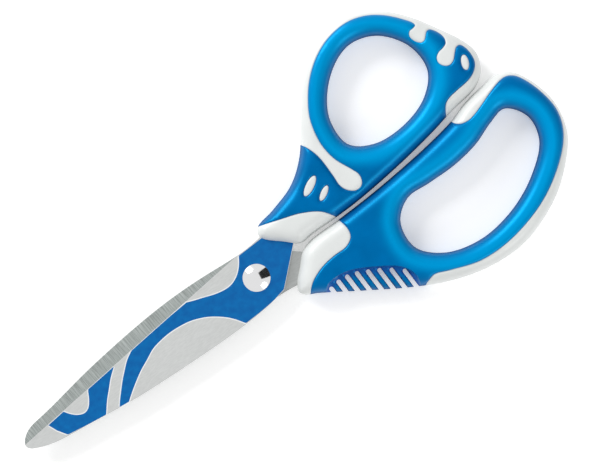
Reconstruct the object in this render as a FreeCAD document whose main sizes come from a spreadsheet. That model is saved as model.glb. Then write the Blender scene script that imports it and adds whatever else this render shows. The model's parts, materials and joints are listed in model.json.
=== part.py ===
import FreeCAD, Part

import math
import os

# Office scissors, closed and lying flat. Millimetres, +Z up.
# The pair rests on the flat undersides of its handles at Z = 0, its tips point along +X and
# the finger bow lies towards +Y. Two blades turn on one rivet. Each blade has a tang that is
# moulded into a hard handle core, and a soft grip is moulded over each core.

Vector = FreeCAD.Vector

SIZES = (
    # the blades
    ("tip_reach", 95.0),            # pivot to the tips
    ("blade_width", 21.4),          # across the widest part of one blade
    ("blade_thickness", 1.6),
    ("blade_gap", 0.06),            # running gap between the two blades
    ("bevel_width", 5.0),           # ground band along the cutting edge
    ("edge_land", 0.35),            # metal left standing at the cutting edge
    ("tang_length", 23.0),          # blade steel inside a handle core, measured from the neck
    ("tang_width", 7.0),
    ("anchor_radius", 1.5),         # tang holes that the core's plastic fills
    # the handles
    ("bow_reach", 114.5),           # pivot to the far end of the finger bow
    ("thumb_width", 48.0),          # parting line to the outside of the thumb bow
    ("finger_width", 48.8),         # parting line to the outside of the finger bow
    ("handle_thickness", 11.0),
    ("edge_round", 1.5),
    ("web_thickness", 5.0),         # core web that runs inside the grips
    ("web_inset", 2.2),             # grip wall left round the web
    # the ribbed rest for the index finger
    ("scoop_depth", 1.4),
    ("slot_width", 1.55),
    ("slot_pitch", 3.3),
    ("slot_top_margin", 2.0),       # scoop edge to the round end of a slot
    # the pivot
    ("shank_radius", 2.5),
    ("bore_clearance", 0.04),       # radial, front blade on the shank
    ("head_radius", 4.65),
    ("head_height", 1.7),
    ("tail_radius", 3.6),
    ("tail_height", 0.8),
    ("washer_radius", 4.4),
    ("washer_thickness", 0.7),
    ("seat_gap", 0.03),             # rivet head to the front blade's face
)

# The handles meet along a parting line. Every handle point is (distance back from the pivot,
# distance out from that line), drawn at one size and stretched to the sheet's lengths.
PARTING_OFFSET = 2.0
PARTING_SLOPE = 0.0822

THUMB_OUTLINE = (
    (9.0, 11.2), (10.3, 14.3), (17.9, 15.3), (27.7, 17.5), (36.1, 23.1), (44.6, 33.8),
    (51.7, 41.3), (60.4, 46.5), (69.6, 48.0), (77.5, 46.8), (86.3, 41.2), (93.1, 33.0),
    (98.6, 23.2), (102.3, 15.5), (103.6, 9.6), (101.4, 4.0), (97.6, 1.3), (94.0, 0.45),
    (86.0, 0.25), (77.0, -0.7), (66.0, -1.35), (54.0, -1.6), (42.0, -1.35), (33.0, -0.6),
    (24.0, 0.5), (18.6, 0.9), (14.2, 5.0),
)
THUMB_HOLE = (
    (72.5, 39.4), (80.9, 35.4), (87.2, 25.6), (87.1, 15.9), (80.7, 9.8), (70.3, 7.4),
    (58.4, 9.2), (51.1, 15.1), (51.2, 25.1), (56.6, 33.1), (65.1, 38.5),
)
# Hard rim of the thumb bow: from the outer edge down the tear-drop, back up round the ring,
# over the far end and in to the stop pad.
THUMB_RIM = (
    (35.0, 29.0), (39.7, 22.4), (40.6, 14.7), (40.7, 6.0), (44.3, 1.7), (47.8, 5.3),
    (44.6, 14.0), (43.9, 22.7), (47.4, 32.4), (53.7, 39.6), (62.5, 44.8), (72.0, 46.0),
    (81.2, 43.1), (88.8, 35.9), (94.0, 27.0), (99.0, 17.5), (101.4, 10.9), (98.5, 5.4),
    (90.1, 4.0), (85.0, 2.8), (82.4, -2.0),
)
THUMB_COLLAR = ((6.0, 15.8), (14.6, 12.8), (21.2, 9.9), (27.4, 6.5), (32.0, 2.4), (34.0, -2.0))
# Hard spots that show through the grip: centre, long and short half-axes, lean in degrees.
THUMB_SPOTS = (
    (91.6, 27.3, 3.3, 2.4, 16.0),
    (95.3, 15.6, 4.3, 2.8, 16.0),
    (98.2, 9.4, 2.6, 1.3, 65.0),
    (32.5, 13.0, 3.8, 1.4, 27.0),
    (34.8, 8.1, 2.8, 1.1, 29.0),
)

FINGER_OUTLINE = (
    (97.6, 0.25), (104.0, 0.4), (108.7, 2.9), (112.4, 9.4), (114.5, 20.2), (112.0, 30.4),
    (106.0, 37.4), (94.7, 44.8), (78.5, 48.8), (64.4, 47.1), (50.8, 41.8), (38.6, 34.3),
    (26.0, 25.1), (13.4, 15.6), (9.6, 13.1), (8.4, 10.8), (9.9, 8.2), (13.6, 5.0), (17.4, 1.8),
    (21.4, 0.7),
    (33.1, 1.7), (46.0, 2.6), (59.8, 3.0), (73.2, 2.9), (83.0, 2.2), (90.0, 0.7),
)
FINGER_HOLE = (
    (99.8, 10.9), (93.1, 11.4), (85.2, 13.4), (75.5, 13.9), (65.2, 12.8), (56.2, 11.7),
    (49.5, 16.1), (48.3, 25.6), (55.2, 33.6), (67.1, 38.2), (80.5, 38.1), (93.2, 33.9),
    (102.9, 26.5), (104.6, 18.0),
)
FINGER_RIM = (
    (82.6, -2.0), (84.2, 4.0), (90.0, 5.7), (99.4, 3.7), (106.4, 3.3), (111.6, 10.4),
    (113.3, 20.5), (110.0, 30.4), (102.6, 36.7), (90.4, 42.4), (75.2, 44.7), (63.0, 43.3),
    (53.1, 39.0), (48.0, 36.6), (43.6, 37.5), (41.0, 41.0),
)
FINGER_COLLAR = ((32.6, -2.0), (34.0, 5.9), (30.2, 10.1), (22.0, 9.7), (15.2, 11.0), (9.0, 17.0))
SCOOP = ((13.0, 20.0), (17.3, 15.5), (24.7, 16.0), (33.9, 21.4), (41.2, 27.8), (43.0, 33.0), (40.0, 42.0))
# Corners of the straight runs that close each drawn curve outside its handle.
THUMB_RIM_CLOSE = ((130.0, -2.0), (130.0, 70.0), (30.0, 70.0))
THUMB_COLLAR_CLOSE = ((0.0, -2.0), (0.0, 30.0))
FINGER_RIM_CLOSE = ((41.0, 80.0), (130.0, 80.0), (130.0, -2.0))
FINGER_COLLAR_CLOSE = ((0.0, 30.0), (0.0, -2.0))
SCOOP_CLOSE = ((30.0, 60.0), (5.0, 40.0))
# The core's web stops behind the finger rest, at these straight runs.
WEB_STOP = ((10.0, 14.2), (26.0, 13.6), (45.5, 26.5), (45.5, 60.0), (5.0, 60.0))
FIRST_SLOT = 17.7
CUT_THROUGH = "sizes.handle_thickness * 1.2"
SLOT_COUNT = 8

# Each blade, seen from its own outer face, as shares of the pivot-to-tip reach and of the
# blade's width: the cutting edge from the neck to the tip, the tip, the spine back to the
# neck, and the straight inner border of the ground band. The rear blade is drawn a little
# inside the front one, so that the closed front blade covers it.
NECK_CORNER = (-0.195, -0.15)
ANCHOR_SHARES = (0.4, 0.75)
FRONT_PROFILE = {
    "edge": (
        (-0.11, -0.485), (0.0, -0.455), (0.12, -0.5), (0.29, -0.54), (0.52, -0.495),
        (0.72, -0.40), (0.90, -0.29), (0.965, -0.235), (0.993, -0.14),
    ),
    "tip": (1.0, -0.07),
    "spine": (
        (0.985, 0.03), (0.93, 0.135), (0.78, 0.25), (0.62, 0.355), (0.47, 0.415), (0.2, 0.477),
        (0.0, 0.445), (-0.053, 0.405),
    ),
    "bevel": ((0.0, -0.461), (1.01, -0.087)),
}
REAR_PROFILE = {
    "edge": (
        (-0.11, -0.485), (0.0, -0.43), (0.2, -0.455), (0.47, -0.39), (0.62, -0.33),
        (0.78, -0.225), (0.93, -0.105), (0.975, -0.02),
    ),
    "tip": (0.99, 0.07),
    "spine": (
        (0.98, 0.14), (0.95, 0.215), (0.89, 0.26), (0.72, 0.37), (0.52, 0.46), (0.29, 0.50),
        (0.12, 0.46), (0.0, 0.42), (-0.053, 0.40),
    ),
    "bevel": ((0.0, -0.42), (1.01, 0.053)),
}


def make_sheet(doc):
    """Write every driving size to a spreadsheet, one alias a row."""
    sheet = doc.addObject("Spreadsheet::Sheet", "sizes")
    for row, (name, value) in enumerate(SIZES + (("pivot_x", 0.0), ("pivot_y", 0.0)), start=1):
        sheet.set(f"A{row}", name)
        sheet.set(f"B{row}", str(value))
        sheet.setAlias(f"B{row}", name)
    doc.recompute()


def size(doc, name):
    """Return one driving size from the sheet."""
    return float(doc.sizes.get(name))


def bind(obj, **expressions):
    """Bind properties to the sheet. A double underscore in a name stands for a dot."""
    for name, expression in expressions.items():
        obj.setExpression(name.replace("__", "."), expression)


def stand(obj, height):
    """Stand an object at the pivot, at a height given in sheet sizes."""
    bind(
        obj,
        Placement__Base__x="sizes.pivot_x",
        Placement__Base__y="sizes.pivot_y",
        Placement__Base__z=height,
    )
    return obj


def loop(points):
    """Return one smooth closed curve through the points."""
    curve = Part.BSplineCurve()
    curve.interpolate(Points=points, PeriodicFlag=True)
    return curve


def run(points):
    """Return one smooth open curve through the points."""
    curve = Part.BSplineCurve()
    curve.interpolate(points)
    return curve


def polyline(points):
    """Return the straight runs from each point to the next."""
    return [Part.LineSegment(start, end) for start, end in zip(points, points[1:])]


def inset(points, distance):
    """Return the points of a closed curve moved this far towards its inside."""
    curve = loop(points)
    area = sum(a.x * b.y - b.x * a.y for a, b in zip(points, points[1:] + points[:1]))
    inward = math.copysign(distance, area)
    moved = []
    for point in points:
        along = curve.tangent(curve.parameter(point))[0]
        moved.append(point + Vector(-along.y, along.x, 0) * inward)
    return moved


def padded(doc, name, edges, thickness, height="sizes.handle_thickness / 2"):
    """Make a body that is a pad of the curves, half its thickness each way from its height."""
    body = doc.addObject("PartDesign::Body", name)
    sketch = body.newObject("Sketcher::SketchObject", name + "_outline")
    xy_plane = next(item for item in body.Origin.OriginFeatures if item.Role == "XY_Plane")
    sketch.AttachmentSupport = (xy_plane, [""])
    sketch.MapMode = "FlatFace"
    for edge in edges:
        sketch.addGeometry(edge, False)
    pad = body.newObject("PartDesign::Pad", name + "_pad")
    pad.Profile = sketch
    pad.Midplane = True
    bind(pad, Length=thickness)
    stand(body, height)
    body.Tip = pad
    doc.recompute()
    return body


def rounded(doc, body):
    """Round every edge of a padded body that lies in its top or bottom face."""
    pad = body.Tip
    flat = [
        f"Edge{number}"
        for number, edge in enumerate(pad.Shape.Edges, start=1)
        if edge.BoundBox.ZLength < 0.01
    ]
    fillet = body.newObject("PartDesign::Fillet", body.Name + "_round")
    fillet.Base = (pad, flat)
    bind(fillet, Radius="sizes.edge_round")
    body.Tip = fillet
    doc.recompute()
    return body


def joined(doc, kind, name, *members):
    """Combine objects: kind is Cut, Common, MultiFuse or Fuse."""
    result = doc.addObject("Part::" + kind, name)
    if kind == "MultiFuse":
        result.Shapes = list(members)
    else:
        result.Base, result.Tool = members
    result.Refine = False
    return result


class HandleFrame:
    """Turns drawn handle points into pivot-centred points at the sheet's lengths."""

    def __init__(self, doc, outline, width, side):
        self.length_stretch = size(doc, "bow_reach") / max(back for back, _ in FINGER_OUTLINE)
        self.width_stretch = size(doc, width) / max(out for _, out in outline)
        self.side = side

    def point(self, back, out):
        """Return the point this far back from the pivot and out from the parting line."""
        x = -back * self.length_stretch
        parting = PARTING_OFFSET + PARTING_SLOPE * x
        return Vector(x, parting + self.side * out * self.width_stretch, 0)

    def points(self, drawn):
        """Return drawn points at the sheet's lengths."""
        return [self.point(back, out) for back, out in drawn]

    def zone(self, drawn, close):
        """Return the drawn curve, closed by straight runs that pass outside the handle."""
        curve = self.points(drawn)
        return [run(curve)] + polyline([curve[-1]] + self.points(close) + [curve[0]])

    def spot(self, back, out, long_half, short_half, lean):
        """Return an ellipse whose long axis leans from the back direction."""
        centre = self.point(back, out)
        turn = math.radians(lean)
        along = Vector(-math.cos(turn), self.side * math.sin(turn), 0)
        across = Vector(-along.y, along.x, 0)
        return Part.Ellipse(centre + along * long_half, centre + across * short_half, centre)


def handle_form(doc, name, frame, outline, hole):
    """Make the whole outer form of one handle, grip and core together."""
    edges = [loop(frame.points(outline)), loop(frame.points(hole))]
    return rounded(doc, padded(doc, name, edges, "sizes.handle_thickness"))


def handle_web(doc, name, frame, outline, hole):
    """Make the core's thin web: the handle's form drawn in all round by the grip's wall."""
    wall = size(doc, "web_inset")
    edges = [
        loop(inset(frame.points(outline), wall)),
        loop(inset(frame.points(hole), -wall)),
    ]
    return padded(doc, name, edges, "sizes.web_thickness")


def blade(doc, name, profile, bore, flip):
    """Make one blade with its bevel up, then turn it over about X by the flip angle.

    The rear blade is turned over, so that the two flat inner faces meet at the handles'
    middle height.
    """
    reach = size(doc, "tip_reach")
    width = size(doc, "blade_width")
    thickness = size(doc, "blade_thickness")
    tang_length = size(doc, "tang_length")
    half_tang = size(doc, "tang_width") / 2
    up = Vector(0, 0, 1)

    def at(share_x, share_y):
        return Vector(share_x * reach, share_y * width, 0)

    edge = [at(*share) for share in profile["edge"]]
    spine = [at(*share) for share in profile["spine"]]
    neck = at(*NECK_CORNER)
    root = (neck + edge[0]) * 0.5
    along = Vector(root).normalize()
    across = Vector(-along.y, along.x, 0)
    far = root + along * tang_length
    outline = [run(edge), run([edge[-1], at(*profile["tip"]), spine[0]]), run(spine)]
    outline += polyline([
        spine[-1], neck, root - across * half_tang, far - across * half_tang,
        far + across * half_tang, root + across * half_tang, edge[0],
    ])
    outline.append(Part.Circle(Vector(), up, bore))
    for share in ANCHOR_SHARES:
        anchor = root + along * (tang_length * share)
        outline.append(Part.Circle(anchor, up, size(doc, "anchor_radius")))

    side = "-" if flip else "+"
    height = f"sizes.handle_thickness / 2 {side} (sizes.blade_gap + sizes.blade_thickness) / 2"
    body = padded(doc, name, outline, "sizes.blade_thickness", height)

    start, end = (at(*share) + up * (thickness / 2) for share in profile["bevel"])
    heading = math.degrees(math.atan2(start.y - end.y, start.x - end.x))
    fall = math.degrees(math.atan2(thickness - size(doc, "edge_land"), size(doc, "bevel_width")))
    grind = body.newObject("PartDesign::SubtractiveBox", name + "_bevel")
    grind.AttachmentSupport = body.Group[0].AttachmentSupport
    grind.MapMode = "FlatFace"
    lean = FreeCAD.Rotation(up, heading) * FreeCAD.Rotation(Vector(1, 0, 0), -fall)
    grind.AttachmentOffset = FreeCAD.Placement(end, lean)
    bind(grind, Length="sizes.tip_reach * 1.2", Width="sizes.blade_width", Height="sizes.blade_width")
    body.Tip = grind
    body.Placement.Rotation = FreeCAD.Rotation(Vector(1, 0, 0), flip)
    return body


def disc(doc, name, radius, length, height):
    """Make an upright cylinder at the pivot."""
    cylinder = doc.addObject("Part::Cylinder", name)
    bind(cylinder, Radius=radius, Height=length)
    return stand(cylinder, height)


def dome(doc, name, radius, rise, base, flip):
    """Make a spherical cap at the pivot, flat side at the base height, turned over by flip."""
    ball = f"({radius} * {radius} + {rise} * {rise}) / (2 * {rise})"
    cap = doc.addObject("Part::Sphere", name)
    bind(cap, Radius=ball, Angle1=f"asin(({ball} - {rise}) / ({ball}))")
    cap.Placement.Rotation = FreeCAD.Rotation(Vector(1, 0, 0), flip)
    sign = "+" if flip else "-"
    return stand(cap, f"{base} {sign} ({ball} - {rise})")


def pivot(doc):
    """Make the rivet, domed at both ends, and the washer under its peened tail."""
    top = ("(sizes.handle_thickness / 2 + sizes.blade_gap / 2 + sizes.blade_thickness"
           " + sizes.seat_gap)")
    washer_top = "(sizes.handle_thickness / 2 - sizes.blade_gap / 2 - sizes.blade_thickness)"
    tail = f"({washer_top} - sizes.washer_thickness)"
    joined(
        doc, "MultiFuse", "pivot_rivet",
        disc(doc, "rivet_shank", "sizes.shank_radius", f"{top} - {tail}", tail),
        dome(doc, "rivet_head", "sizes.head_radius", "sizes.head_height", top, 0),
        dome(doc, "rivet_tail", "sizes.tail_radius", "sizes.tail_height", tail, 180),
    )
    joined(
        doc, "Cut", "pivot_washer",
        disc(doc, "washer_disc", "sizes.washer_radius", "sizes.washer_thickness", tail),
        disc(doc, "washer_hole", "sizes.shank_radius", "sizes.washer_thickness", tail),
    )


def thumb_handle(doc, frame, form, steel):
    """Make the thumb handle's hard core and its soft grip."""
    hard = [
        handle_web(doc, "thumb_web", frame, THUMB_OUTLINE, THUMB_HOLE),
        padded(doc, "thumb_rim", frame.zone(THUMB_RIM, THUMB_RIM_CLOSE), CUT_THROUGH),
        padded(doc, "thumb_collar", frame.zone(THUMB_COLLAR, THUMB_COLLAR_CLOSE), CUT_THROUGH),
    ]
    for number, spot in enumerate(THUMB_SPOTS, start=1):
        hard.append(padded(doc, f"thumb_spot_{number}", [frame.spot(*spot)], CUT_THROUGH))
    hard_zone = joined(doc, "MultiFuse", "thumb_hard_zone", *hard)
    core = joined(doc, "Common", "thumb_core_form", form, hard_zone)
    joined(doc, "Cut", "thumb_handle_core", core, steel)
    grip_form = joined(doc, "Cut", "thumb_grip_form", form, hard_zone)
    joined(doc, "Cut", "thumb_handle_grip", grip_form, steel)


def finger_slots(doc, frame):
    """Make the cutters of the finger rest: slots across the blades, their tops along the scoop."""
    scoop = run(frame.points(SCOOP))
    half = size(doc, "slot_width") / 2
    depth = size(doc, "finger_width")
    cutters = []
    for index in range(SLOT_COUNT):
        x = -FIRST_SLOT * frame.length_stretch - index * size(doc, "slot_pitch")
        rim = scoop.intersectCC(Part.LineSegment(Vector(x, -depth, 0), Vector(x, depth, 0)).toBSpline())
        top = min(point.Y for point in rim) + size(doc, "slot_top_margin")
        left = Vector(x - half, top, 0)
        right = Vector(x + half, top, 0)
        cap = Part.Arc(left, Vector(x, top - half, 0), right)
        sides = polyline([right, right + Vector(0, depth, 0), left + Vector(0, depth, 0), left])
        cutters.append(padded(doc, f"finger_slot_{index + 1}", [cap] + sides, CUT_THROUGH))
    return cutters


def finger_handle(doc, frame, form, steel):
    """Make the finger handle's hard core and its soft grip with the ribbed rest."""
    web = handle_web(doc, "finger_web", frame, FINGER_OUTLINE, FINGER_HOLE)
    stop = frame.points(WEB_STOP)
    web_stop = padded(doc, "finger_web_stop", polyline(stop + stop[:1]), CUT_THROUGH)
    hard_zone = joined(
        doc, "MultiFuse", "finger_hard_zone",
        joined(doc, "Cut", "finger_web_behind_rest", web, web_stop),
        padded(doc, "finger_rim", frame.zone(FINGER_RIM, FINGER_RIM_CLOSE), CUT_THROUGH),
        padded(doc, "finger_collar", frame.zone(FINGER_COLLAR, FINGER_COLLAR_CLOSE), CUT_THROUGH),
    )
    core = joined(doc, "Common", "finger_core_form", form, hard_zone)
    joined(doc, "Cut", "finger_handle_core", core, steel)
    scoop = frame.zone(SCOOP, SCOOP_CLOSE)
    hollows = [
        padded(doc, "scoop_above", scoop, "2 * sizes.scoop_depth", "sizes.handle_thickness"),
        padded(doc, "scoop_below", scoop, "2 * sizes.scoop_depth", "0"),
    ]
    hollows += finger_slots(doc, frame)
    grip_form = joined(doc, "Cut", "finger_grip_form", form, hard_zone)
    ribbed = joined(
        doc, "Cut", "finger_grip_ribbed",
        grip_form, joined(doc, "MultiFuse", "finger_hollows", *hollows),
    )
    joined(doc, "Cut", "finger_handle_grip", ribbed, steel)


def centre_on_box(doc, members):
    """Set the pivot's place so that the origin is the middle of the whole pair's box."""
    box = FreeCAD.BoundBox()
    for member in members:
        box.add(member.Shape.optimalBoundingBox(False, False))
    doc.sizes.set("pivot_x", str(-box.Center.x))
    doc.sizes.set("pivot_y", str(-box.Center.y))
    doc.recompute()


NODES = (
    "front_blade", "rear_blade", "pivot_rivet", "pivot_washer",
    "thumb_handle_core", "thumb_handle_grip", "finger_handle_core", "finger_handle_grip",
)


def write_nodes(doc):
    """Check every object and write each sub-part's solid."""
    failed = [obj.Name for obj in doc.Objects if {"Invalid", "Error"} & set(obj.State)]
    if failed:
        raise RuntimeError(f"objects that failed: {failed}")
    os.makedirs("parts", exist_ok=True)
    print(f"pivot at {size(doc, 'pivot_x'):.3f}, {size(doc, 'pivot_y'):.3f}")
    for name in NODES:
        shape = doc.getObject(name).Shape
        if shape.isNull() or not shape.isValid():
            raise RuntimeError(f"{name} has no valid shape")
        shape.exportStep(f"parts/{name}.step")
        print(f"{name}: {len(shape.Solids)} solid, {shape.Volume:.0f} mm3")


def main():
    doc = FreeCAD.newDocument("office_scissors")
    make_sheet(doc)
    shank = size(doc, "shank_radius")
    front = blade(doc, "front_blade", FRONT_PROFILE, shank + size(doc, "bore_clearance"), 0)
    rear = blade(doc, "rear_blade", REAR_PROFILE, shank, 180)
    thumb_frame = HandleFrame(doc, THUMB_OUTLINE, "thumb_width", -1)
    finger_frame = HandleFrame(doc, FINGER_OUTLINE, "finger_width", 1)
    thumb_form = handle_form(doc, "thumb_form", thumb_frame, THUMB_OUTLINE, THUMB_HOLE)
    finger_form = handle_form(doc, "finger_form", finger_frame, FINGER_OUTLINE, FINGER_HOLE)
    centre_on_box(doc, [front, thumb_form, finger_form])
    pivot(doc)
    thumb_handle(doc, thumb_frame, thumb_form, front)
    finger_handle(doc, finger_frame, finger_form, rear)
    doc.recompute()
    write_nodes(doc)


if __name__ == "__main__":
    main()
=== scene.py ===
"""Office scissors: the finished look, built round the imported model.

The blades, the rivet and the washer keep their modelled shapes and get ground, satin and
polished steel. Each handle is a hard core with a soft grip moulded over it. Both are made here
again as crowned mouldings with a fine parting groove between the two plastics. The ink on the
upper blade is a pair of thin printed films.
"""

import json
import logging
import math
from dataclasses import dataclass, field
from enum import Enum

import bpy
import numpy as np
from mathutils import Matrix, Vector
from mathutils.geometry import delaunay_2d_cdt


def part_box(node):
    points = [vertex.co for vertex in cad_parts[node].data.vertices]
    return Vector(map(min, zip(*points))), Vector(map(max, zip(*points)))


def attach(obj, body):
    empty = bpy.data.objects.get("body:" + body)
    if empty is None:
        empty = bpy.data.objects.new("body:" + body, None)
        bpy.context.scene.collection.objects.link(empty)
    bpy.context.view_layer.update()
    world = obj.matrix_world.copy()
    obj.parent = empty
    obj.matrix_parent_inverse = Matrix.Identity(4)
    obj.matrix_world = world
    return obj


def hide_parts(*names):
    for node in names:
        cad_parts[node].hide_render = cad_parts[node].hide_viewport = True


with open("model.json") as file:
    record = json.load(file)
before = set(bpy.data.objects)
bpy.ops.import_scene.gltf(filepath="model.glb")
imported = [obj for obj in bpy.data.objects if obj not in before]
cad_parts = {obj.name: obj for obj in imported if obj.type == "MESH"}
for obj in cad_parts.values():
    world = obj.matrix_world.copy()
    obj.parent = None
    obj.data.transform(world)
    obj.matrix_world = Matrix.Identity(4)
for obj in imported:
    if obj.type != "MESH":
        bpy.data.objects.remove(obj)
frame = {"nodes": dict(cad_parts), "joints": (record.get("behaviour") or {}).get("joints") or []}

LOG = logging.getLogger("office_scissors")
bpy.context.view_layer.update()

MM = 0.001
PIVOT = np.array(frame["joints"][0]["pos_m"]) / MM
MID_HEIGHT = float(PIVOT[2])

Points = tuple[tuple[float, float], ...]

AT_ONCE = 4000                 # points measured together, which keeps memory low
SPOT_POINTS = 44
SLOT_CAP_POINTS = 13
RIVET_HOLE_POINTS = 64
ON_THE_EDGE = 1e-4


class Body(Enum):
    """The two bodies that turn on the rivet."""

    FINGER = "finger_side"
    THUMB = "thumb_side"


class Plastic(Enum):
    """The two plastics of a handle, with the suffix of the node that each one stands for."""

    HARD = "core"
    SOFT = "grip"


# ------------------------ curves in the plane


def smooth(points: Points, closed: bool, step: float = 0.45) -> np.ndarray:
    """Sample one smooth curve through the points at nearly even steps.

    Args:
        points: The points that the curve passes through, in millimetres.
        closed: True where the curve ends where it starts.
        step: Distance between samples, in millimetres.

    Returns:
        The samples, one row each. A closed curve doesn't repeat its first one.
    """
    given = np.array(points, float)
    if closed:
        given = np.vstack([given[-1:], given, given[:2]])
    else:
        given = np.vstack([2 * given[0] - given[1], given, 2 * given[-1] - given[-2]])
    samples = []
    for before, start, end, after in zip(given, given[1:], given[2:], given[3:]):
        spans = np.sqrt(np.linalg.norm([start - before, end - start, after - end], axis=1))
        leave = (start - before) / spans[0] - (end - before) / (spans[0] + spans[1])
        leave = (leave + (end - start) / spans[1]) * spans[1]
        arrive = (end - start) / spans[1] - (after - start) / (spans[1] + spans[2])
        arrive = (arrive + (after - end) / spans[2]) * spans[1]
        count = max(2, math.ceil(np.linalg.norm(end - start) / step))
        u = np.linspace(0, 1, count, endpoint=False)[:, None]
        samples.append(
            (2 * u**3 - 3 * u**2 + 1) * start + (u**3 - 2 * u**2 + u) * leave
            + (3 * u**2 - 2 * u**3) * end + (u**3 - u**2) * arrive
        )
    if not closed:
        samples.append(given[-2:-1])
    return np.vstack(samples)


def offset(line: np.ndarray, distance: float, closed: bool) -> np.ndarray:
    """Move every sample of a line sideways.

    Args:
        line: The samples, one row each.
        distance: How far they move, to the left of the line's direction, in millimetres.
        closed: True where the line ends where it starts.

    Returns:
        The moved samples.
    """
    if closed:
        along = np.roll(line, -1, axis=0) - np.roll(line, 1, axis=0)
    else:
        along = np.gradient(line, axis=0)
    along /= np.maximum(np.linalg.norm(along, axis=1, keepdims=True), 1e-9)
    return line + distance * np.column_stack([-along[:, 1], along[:, 0]])


def is_inside(points: np.ndarray, loop: np.ndarray) -> np.ndarray:
    """Tell which points lie inside a closed line.

    Args:
        points: The points, one row each.
        loop: The closed line's samples.

    Returns:
        True for each point inside.
    """
    x, y = points[:, :1], points[:, 1:]
    x1, y1 = loop[:, 0], loop[:, 1]
    x2, y2 = np.roll(x1, -1), np.roll(y1, -1)
    rise = np.where(y2 == y1, 1e-12, y2 - y1)
    crossed = ((y1 > y) != (y2 > y)) & (x < (x2 - x1) * (y - y1) / rise + x1)
    return crossed.sum(axis=1) % 2 == 1


def gap_to(points: np.ndarray, lines: list[np.ndarray], closed: bool) -> np.ndarray:
    """Return each point's distance to the nearest of several lines.

    Args:
        points: The points, one row each.
        lines: The lines. With none, every distance is very large.
        closed: True where each line ends where it starts.

    Returns:
        One distance for each point.
    """
    nearest = np.full(len(points), 1e6)
    for line in lines:
        start = line if closed else line[:-1]
        run = (np.roll(line, -1, axis=0) if closed else line[1:]) - start
        length = np.maximum((run**2).sum(axis=1), 1e-12)
        for low in range(0, len(points), AT_ONCE):
            part = points[low:low + AT_ONCE, None, :] - start
            share = np.clip((part * run).sum(axis=2) / length, 0, 1)
            gap = np.linalg.norm(part - share[..., None] * run, axis=2).min(axis=1)
            nearest[low:low + AT_ONCE] = np.minimum(nearest[low:low + AT_ONCE], gap)
    return nearest


def thinned(points: np.ndarray, spacing: float) -> np.ndarray:
    """Keep the first of any points that are closer together than the spacing.

    Args:
        points: The points, one row each.
        spacing: The least distance between two that are kept, in millimetres.

    Returns:
        The points that are kept.
    """
    taken: dict[tuple[int, int], list[np.ndarray]] = {}
    kept = []
    for point in points:
        cell = tuple(np.floor(point / spacing).astype(int))
        near = (
            other
            for i in (-1, 0, 1)
            for j in (-1, 0, 1)
            for other in taken.get((cell[0] + i, cell[1] + j), ())
        )
        if all(np.hypot(*(point - other)) >= spacing for other in near):
            taken.setdefault(cell, []).append(point)
            kept.append(point)
    return np.array(kept)


def ramp(value: np.ndarray, width: float) -> np.ndarray:
    """Rise smoothly from 0 to 1 as the value goes from 0 to the width."""
    share = np.clip(value / width, 0, 1)
    return share * share * (3 - 2 * share)


# ------------------------ materials


STEEP_SHADE = "steep_side_shade"
SCOOP_SHADE = "scoop_edge_shade"
HIGHLIGHT_BAND = "painted_highlight_band"

RANGE = "ShaderNodeMapRange"
MIX = "ShaderNodeMix"
COLOURS = {"out": 2, "data_type": "RGBA"}   # a mix of two colours: inputs 0, 6 and 7
MIDDLE = {1: 0.3, 2: 0.7}                   # a noise lies mostly between these two values


def linear(colour: str) -> tuple[float, float, float, float]:
    """Turn an sRGB colour into the linear colour that a shader takes.

    Args:
        colour: The colour, as #rrggbb.

    Returns:
        Its linear red, green and blue, and an alpha of 1.
    """
    shares = [int(colour[i:i + 2], 16) / 255 for i in (1, 3, 5)]
    red, green, blue = (s / 12.92 if s <= 0.04045 else ((s + 0.055) / 1.055) ** 2.4 for s in shares)
    return red, green, blue, 1.0


def add_node(
    tree: bpy.types.NodeTree,
    kind: str,
    inputs: dict[str | int, object] | None = None,
    out: str | int = 0,
    **settings: object,
) -> bpy.types.NodeSocket:
    """Add one node to a material.

    Args:
        tree: The material's node tree.
        kind: The node's type, such as ShaderNodeTexNoise.
        inputs: For each input, by name or number, its value or the output that feeds it.
        out: The output wanted, by name or number.
        **settings: Properties of the node itself.

    Returns:
        The new node's output.
    """
    node = tree.nodes.new(kind)
    for name, value in settings.items():
        setattr(node, name, value)
    for name, value in (inputs or {}).items():
        if isinstance(value, bpy.types.NodeSocket):
            tree.links.new(value, node.inputs[name])
        else:
            node.inputs[name].default_value = value
    return node.outputs[out]


def per_metre(size_mm: float) -> float:
    """Return the texture scale that gives features of this size in millimetres."""
    return 1 / (size_mm * MM)


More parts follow.
